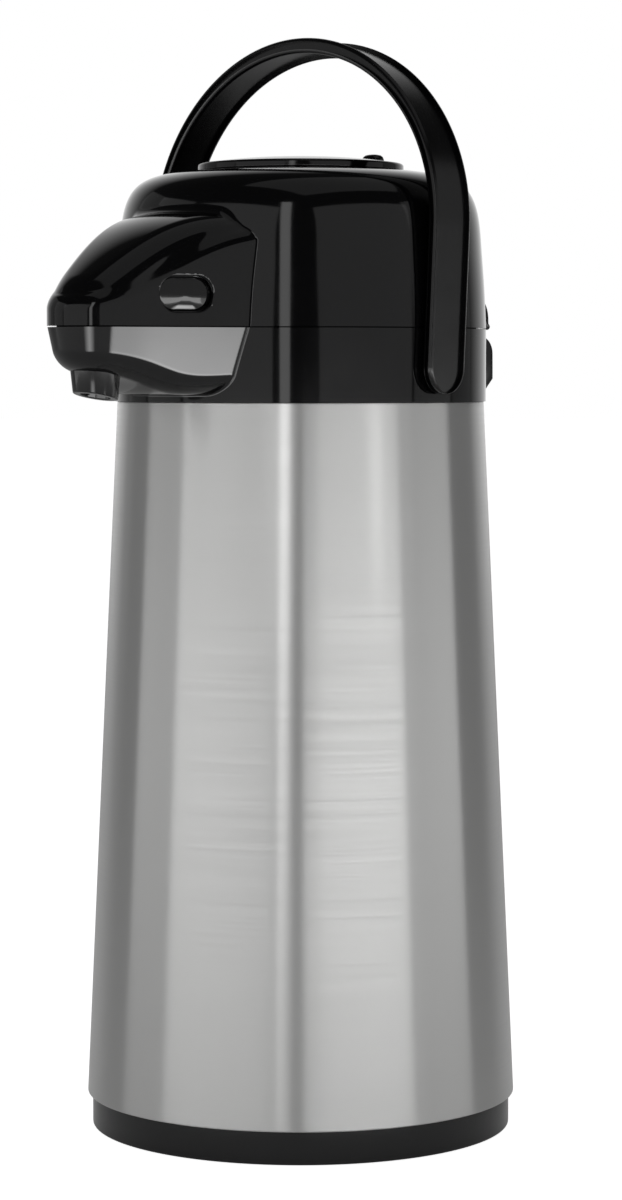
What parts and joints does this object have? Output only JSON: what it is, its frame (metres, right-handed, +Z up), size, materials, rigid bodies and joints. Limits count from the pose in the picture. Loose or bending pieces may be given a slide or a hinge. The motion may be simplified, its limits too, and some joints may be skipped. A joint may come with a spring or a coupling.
{
  "type": "airpot",
  "caption": "Push-button vacuum pump pot with brushed steel body, black head, beak spout, hinged lid and bail handle.",
  "frame": {"origin": "centre of the flat face under the foot ring", "axes": "+Z up along the pot's axis, -Y towards the spout, +X towards the spout's left as the pot looks out"},
  "size_m": [0.1566, 0.1955, 0.396],
  "materials": {
    "steel": "satin, brushed round the body",
    "black_gloss": "gloss, moulded",
    "black_satin": "satin, moulded",
    "white_plastic": "satin, moulded",
    "clear_pipe": "smooth",
    "glass": "silvered between the walls",
    "rubber": "matt",
    "silicone": "matt, translucent white",
    "bright_steel": "bright"
  },
  "bodies": {
    "pot": {"body_shell": "steel", "base_ring": "black_satin", "foot_ring": "rubber", "base_plug": "black_satin", "liner_cushion": "rubber", "liner_outer": "glass", "liner_inner": "glass", "mouth_seal": "silicone", "shoulder_collar": "black_gloss", "throat_ring": "white_plastic", "throat_screws": "bright_steel", "siphon_tube": "clear_pipe", "siphon_head": "white_plastic", "spout_pipe": "clear_pipe", "spout_nozzle": "black_gloss", "hinge_pin": "bright_steel"},
    "lid": {"lid_shell": "black_gloss", "pump_cylinder": "white_plastic", "lid_floor": "white_plastic", "mouth_gasket": "silicone", "air_flap": "silicone", "lid_screws": "bright_steel", "bellows": "silicone", "return_spring": "bright_steel"},
    "button": {"press_button": "black_gloss", "vent_seal": "silicone"},
    "lock": {"lock_slider": "black_gloss", "lock_tongue": "white_plastic"},
    "latch_right": {"latch_button_right": "black_gloss", "latch_hook_right": "black_satin"},
    "latch_left": {"latch_button_left": "black_gloss", "latch_hook_left": "black_satin"},
    "bail": {"bail_handle": "black_gloss", "bail_pins": "black_satin", "bail_washers": "bright_steel", "bail_screws": "bright_steel"},
    "ball": {"spill_ball": "bright_steel"}
  },
  "joints": [
    {"name": "lid_hinge", "type": "hinge", "parent": "pot", "child": "lid", "pos_m": [0, 0.0705, 0.2825], "axis": [-1, 0, 0], "range_deg": [0, 55]},
    {"name": "bail_swing", "type": "hinge", "parent": "pot", "child": "bail", "pos_m": [0, 0, 0.277], "axis": [-1, 0, 0], "range_deg": [0, 129.25]},
    {"name": "button_press", "type": "slide", "parent": "lid", "child": "button", "axis": [0, 0, -1], "range_m": [0, 0.02], "stiffness_N_per_m": 300, "deforming": ["bellows", "return_spring"]},
    {"name": "lock_slide", "type": "slide", "parent": "lid", "child": "lock", "axis": [-1, 0, 0], "range_m": [-0.008, 0]},
    {"name": "latch_right_press", "type": "slide", "parent": "lid", "child": "latch_right", "axis": [-0.9426, 0.3338, 0], "range_m": [0, 0.0026], "stiffness_N_per_m": 500},
    {"name": "latch_left_press", "type": "slide", "parent": "lid", "child": "latch_left", "axis": [0.9426, 0.3338, 0], "range_m": [0, 0.0026], "stiffness_N_per_m": 500},
    {"name": "ball_lift", "type": "slide", "parent": "pot", "child": "ball", "axis": [0, 0, 1], "range_m": [0, 0.003]}
  ],
  "couplings": [
    {"joint": "bail_swing", "follows": "lid_hinge", "ratio": 2.35}
  ]
}
